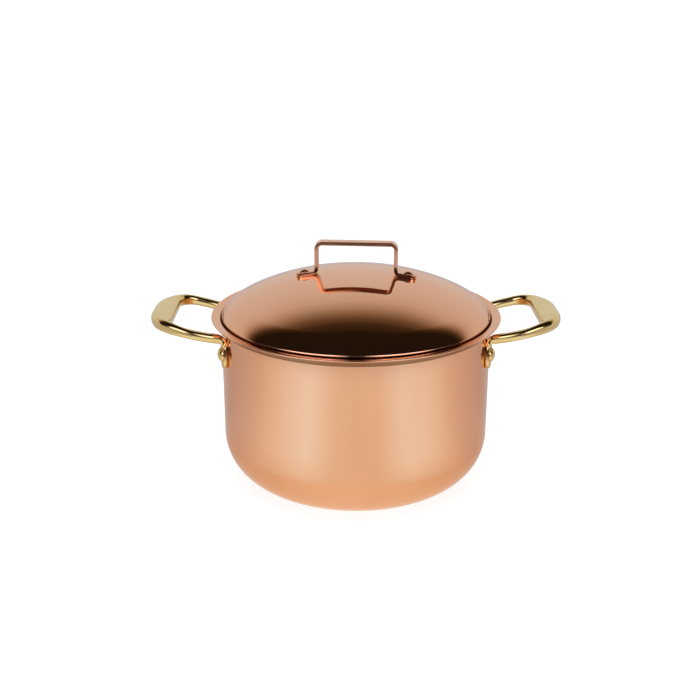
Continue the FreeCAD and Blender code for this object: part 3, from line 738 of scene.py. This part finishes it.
def spun_copper(name, low, high, line_strength, groove_heights):
    """Polished copper with spinning lines, soft wiping marks, and painted shade in the groove by the lid.
    """
    metal = Metal(name)
    spun_place = metal.around_axis()
    lines = metal.noise(1400, 2.0, vector=spun_place)
    tarnish = metal.noise(16, 3.0, stretch=(1, 1, 0.3))
    smears = metal.noise(55, 5.0, stretch=(1, 1, 0.35))
    polished = metal.mixed(metal.spread(tarnish, 0, 1), COPPER_LIGHT, COPPER_DEEP)
    radius, _, height = metal.split(spun_place)
    painted_groove_shade = metal.math("MULTIPLY", metal.between(radius, *GROOVE_RADII, GROOVE_SOFTNESS),
                           metal.between(height, *groove_heights, GROOVE_SOFTNESS))
    # painted shade: the colour turns to a dark copper inside the groove by the lid's edge
    metal.set_colour(metal.mixed(painted_groove_shade, polished, COPPER_GROOVE_SHADE))
    metal.set_roughness(metal.math("ADD", metal.spread(smears, low, high), metal.spread(lines, 0, 0.015)))
    metal.set_bump(lines, line_strength, 0.05 * MM)
    metal.set_edge(COPPER_EDGE)
    return metal.material


def mirror_copper(name):
    """Hard polished copper with fine wiping marks; its downward faces are rougher and darkened with painted
    shade.
    """
    metal = Metal(name)
    _, _, upward = metal.split(metal.coordinates("Normal"))
    underneath = metal.spread(upward, 1, 0, -0.9, -0.5)
    marks = metal.noise(420, 4.0, stretch=(0.2, 1, 1))
    tarnish = metal.noise(60, 3.0)
    polished = metal.mixed(metal.spread(tarnish, 0, 1), COPPER_LIGHT, COPPER_DEEP)
    # painted shade: the colour darkens on faces that point down
    metal.set_colour(metal.mixed(underneath, polished, COPPER_UNDERSIDE_SHADE))
    dullness = metal.spread(underneath, 0, 0.3, 0, 1)
    metal.set_roughness(metal.math("ADD", metal.spread(marks, 0.03, 0.07), dullness))
    metal.set_bump(marks, 0.03, 0.05 * MM)
    metal.set_edge(COPPER_EDGE)
    return metal.material


def polished_brass(name, low, high):
    """Buffed cast brass: a gently uneven skin and fine polishing marks."""
    metal = Metal(name)
    skin = metal.noise(45, 2.0)
    tarnish = metal.noise(90, 4.0)
    marks = metal.noise(700, 3.0)
    metal.set_colour(metal.mixed(metal.spread(tarnish, 0, 1), BRASS_LIGHT, BRASS_DEEP))
    metal.set_roughness(metal.spread(marks, low, high))
    metal.set_bump(skin, 0.06, 0.4 * MM)
    return metal.material


def spun_steel(name):
    """The satin steel lining, with clear spinning lines."""
    metal = Metal(name)
    lines = metal.noise(900, 3.0, vector=metal.around_axis())
    metal.set_colour(metal.mixed(metal.spread(lines, 0, 1), STEEL_LIGHT, STEEL_DEEP))
    metal.set_roughness(metal.spread(lines, 0.24, 0.38))
    metal.set_bump(lines, 0.15, 0.05 * MM)
    return metal.material


# ---- putting the pieces in place -------------------------------------------------------------

def finish_piece(piece, node, body, material):
    piece.data.materials.append(material)
    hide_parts(node)
    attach(piece, body)


# the last pair gives the heights over which each copper gets painted shade in the groove
pot_copper = spun_copper("pot_copper", 0.08, 0.13, 0.05, (RIM_HEIGHT - 8 * MM, RIM_HEIGHT))
lid_copper = spun_copper("lid_copper", 0.03, 0.05, 0.03, (LID_EDGE_HEIGHT, LID_EDGE_HEIGHT + 2 * MM))
strap_copper = mirror_copper("strap_copper")
handle_brass = polished_brass("handle_brass", 0.06, 0.1)
rivet_brass = polished_brass("rivet_brass", 0.08, 0.13)
lining_steel = spun_steel("lining_steel")

finish_piece(make_pot_shell(), "pot_shell", "pot", pot_copper)
finish_piece(make_pot_lining(), "pot_lining", "pot", lining_steel)
finish_piece(make_lid_shell(), "lid_shell", "lid", lid_copper)
finish_piece(make_lid_lining(), "lid_lining", "lid", lining_steel)
finish_piece(make_lid_handle(), "lid_handle", "lid", strap_copper)

for handle, side in (("right_handle", 1), ("left_handle", -1)):
    finish_piece(make_side_handle(f"{handle}_casting", side), handle, "pot", handle_brass)
    half_turn = 0 if side > 0 else math.pi
    for place, where in (("front", -side), ("rear", side)):
        node = f"{handle}_{place}_rivet"
        rivet = make_side_rivet(f"{node}_domed", half_turn + where * FOOT_AZIMUTH)
        finish_piece(rivet, node, "pot", rivet_brass)

for place, side in (("left", -1), ("right", 1)):
    node = f"lid_handle_{place}_rivet"
    finish_piece(make_lid_rivet(f"{node}_domed", side), node, "lid", strap_copper)


# ---- floor, light and camera -----------------------------------------------------------------

# what polished metal sees of the studio, as light levels per channel
TABLE_ROUND = ((0, (0.88, 0.90, 0.87)), (15, (0.93, 0.96, 0.96)), (33, (1.01, 1.22, 1.37)),
               (48, (0.99, 1.12, 1.22)), (60, (0.94, 1.00, 1.04)), (80, (0.77, 0.74, 0.74)),
               (115, (0.57, 0.53, 0.54)), (180, (0.60, 0.58, 0.57)))
STUDIO_ARCH = ((0, (0.69, 0.70, 0.69)), (10, (0.73, 0.77, 0.80)), (25, (0.75, 0.78, 0.82)),
               (38, (0.71, 0.73, 0.76)), (45, (0.65, 0.65, 0.67)), (50, (0.53, 0.50, 0.48)),
               (55, (0.35, 0.30, 0.25)), (60, (0.17, 0.12, 0.08)), (65, (0.06, 0.04, 0.02)),
               (72, (0.02, 0.014, 0.009)), (180, (0.015, 0.012, 0.01)))
# the table close round the pot, the table beyond half a metre, and the room past its front edge
NEAR_ROUND = ((0, (0.99, 0.91, 0.82)), (40, (0.90, 0.80, 0.68)), (70, (0.78, 0.68, 0.60)),
              (90, (0.66, 0.56, 0.52)), (180, (0.60, 0.52, 0.48)))
TABLE_FAR = (0.60, 0.60, 0.66)
DARK_ROOM = (0.11, 0.08, 0.08)
# where each gives way to the next, in metres from the pot's axis; the front edge is straight ahead
NEAR_FADE = (0.16, 0.25)
FAR_FADE = (0.48, 0.56)
FRONT_EDGE = (0.835, 0.86)
# the table's size, and what the camera sees of it: its own light and a grey under the overhead lamp
FLOOR_HALF_WIDTH = 40.0
FLOOR_OWN_LIGHT = 0.84
FLOOR_GREY = 0.3
# the two soft lights: their level, and where they fade in and out, in degrees over the arch from the
# back wall and in sideways distance over forward distance
SOFT_LIGHT = (2.2, 2.2, 2.64)
SOFT_LIGHT_TOP = (128, 138)
SOFT_LIGHT_FOOT = (168, 174)
SOFT_LIGHT_INNER = (0.1, 0.4)
SOFT_LIGHT_OUTER = (1.3, 2.5)


def make_floor():
    """A white table that fades into its own brightness: only a faint contact shadow shows on it."""
    size = FLOOR_HALF_WIDTH
    mesh = bpy.data.meshes.new("floor")
    corners = [(-size, -size, 0), (size, -size, 0), (size, size, 0), (-size, size, 0)]
    mesh.from_pydata(corners, [], [(0, 1, 2, 3)])
    floor = bpy.data.objects.new("floor", mesh)
    bpy.context.scene.collection.objects.link(floor)
    material = bpy.data.materials.new("floor_white")
    material.use_nodes = True
    nodes = NodeTree(material.node_tree)
    diffuse = nodes.tree.nodes["Principled BSDF"]
    diffuse.inputs["Base Color"].default_value = (FLOOR_GREY, FLOOR_GREY, FLOOR_GREY, 1)
    diffuse.inputs["Roughness"].default_value = 0.9
    diffuse.inputs["Specular IOR Level"].default_value = 0.0

    x, y, _ = nodes.split(nodes.coordinates("Object"))
    sideways = nodes.math("ABSOLUTE", x)
    round_front = nodes.math("ARCTAN2", sideways, nodes.math("MULTIPLY", y, -1.0))
    turned = nodes.math("DIVIDE", round_front, math.pi)
    table = nodes.ramp(turned, TABLE_ROUND, 180)
    near_table = nodes.ramp(turned, NEAR_ROUND, 180)
    reach = nodes.hypotenuse(x, y)
    table = nodes.mixed(nodes.spread(reach, 0, 1, *NEAR_FADE), near_table, table)
    table = nodes.mixed(nodes.spread(reach, 0, 1, *FAR_FADE), table, TABLE_FAR)
    forwards = nodes.math("MULTIPLY", y, -1.0)
    table = nodes.mixed(nodes.spread(forwards, 0, 1, *FRONT_EDGE), table, DARK_ROOM)
    seen_in_metal = nodes.add("ShaderNodeEmission")
    nodes.link(table, seen_in_metal.inputs["Color"])

    own_light = nodes.add("ShaderNodeEmission")
    own_light.inputs["Strength"].default_value = FLOOR_OWN_LIGHT
    seen_directly = nodes.add("ShaderNodeAddShader")
    nodes.link(own_light.outputs[0], seen_directly.inputs[0])
    nodes.link(diffuse.outputs[0], seen_directly.inputs[1])
    chosen = nodes.add("ShaderNodeMixShader")
    nodes.link(nodes.add("ShaderNodeLightPath").outputs["Is Camera Ray"], chosen.inputs[0])
    nodes.link(seen_in_metal.outputs[0], chosen.inputs[1])
    nodes.link(seen_directly.outputs[0], chosen.inputs[2])
    nodes.link(chosen.outputs[0], nodes.tree.nodes["Material Output"].inputs["Surface"])
    mesh.materials.append(material)


def make_studio():
    """A bright wall behind the pot, a dark ceiling, and two soft lights either side of the camera.

    Only reflections show them: seen directly, the studio is as white as the table.
    """
    world = bpy.data.worlds.new("studio")
    bpy.context.scene.world = world
    world.use_nodes = True
    nodes = NodeTree(world.node_tree)
    x, y, z = nodes.split(nodes.coordinates("Generated"))
    arch = nodes.math("ARCTAN2", z, y)
    room = nodes.ramp(nodes.math("DIVIDE", arch, math.pi), STUDIO_ARCH, 180)

    from_above = nodes.spread(arch, 0, 1, *map(math.radians, SOFT_LIGHT_TOP))
    to_below = nodes.spread(arch, 1, 0, *map(math.radians, SOFT_LIGHT_FOOT))
    sideways = nodes.math("ABSOLUTE", nodes.math("DIVIDE", x, y))
    from_middle = nodes.spread(sideways, 0.03, 1, *SOFT_LIGHT_INNER)
    to_side = nodes.spread(sideways, 1, 0.1, *SOFT_LIGHT_OUTER)
    upright = nodes.math("MULTIPLY", from_above, to_below)
    across = nodes.math("MULTIPLY", from_middle, to_side)
    share = nodes.math("MULTIPLY", upright, across)
    lights = nodes.mixed(share, (0, 0, 0), SOFT_LIGHT)
    total = nodes.add("ShaderNodeVectorMath", operation="ADD")
    nodes.link(room, total.inputs[0])
    nodes.link(lights, total.inputs[1])
    seen_directly = nodes.add("ShaderNodeLightPath").outputs["Is Camera Ray"]
    backdrop = nodes.mixed(seen_directly, total.outputs[0], (1, 1, 1))
    nodes.link(backdrop, nodes.tree.nodes["Background"].inputs["Color"])


def make_overhead_light():
    """A broad overhead light for the floor, kept out of the metal's reflections."""
    lamp = bpy.data.lights.new("overhead", "SUN")
    lamp.energy = 2.2
    lamp.angle = math.radians(70)
    overhead = bpy.data.objects.new("overhead", lamp)
    overhead.visible_glossy = False
    bpy.context.scene.collection.objects.link(overhead)


def make_camera():
    """About twenty degrees down, from just under a metre away. The angles are in radians."""
    distance = 976 * MM
    down = 0.3435
    round_pot = math.radians(-0.5)
    roll = 0.0033
    target = Vector((-5.3, 0, 119.04)) * MM
    camera_data = bpy.data.cameras.new("camera")
    camera_data.lens = 54.47
    camera_data.sensor_width = 36
    camera = bpy.data.objects.new("camera", camera_data)
    back = Vector((0, -math.cos(down), math.sin(down)))
    tilt = Matrix.Rotation(math.pi / 2 - down, 4, "X")
    stand = Matrix.Translation(target + back * distance) @ tilt @ Matrix.Rotation(roll, 4, "Z")
    camera.matrix_world = Matrix.Rotation(round_pot, 4, "Z") @ stand
    bpy.context.scene.collection.objects.link(camera)
    bpy.context.scene.camera = camera


make_floor()
make_studio()
make_overhead_light()
make_camera()
bpy.context.scene.view_settings.view_transform = "Standard"
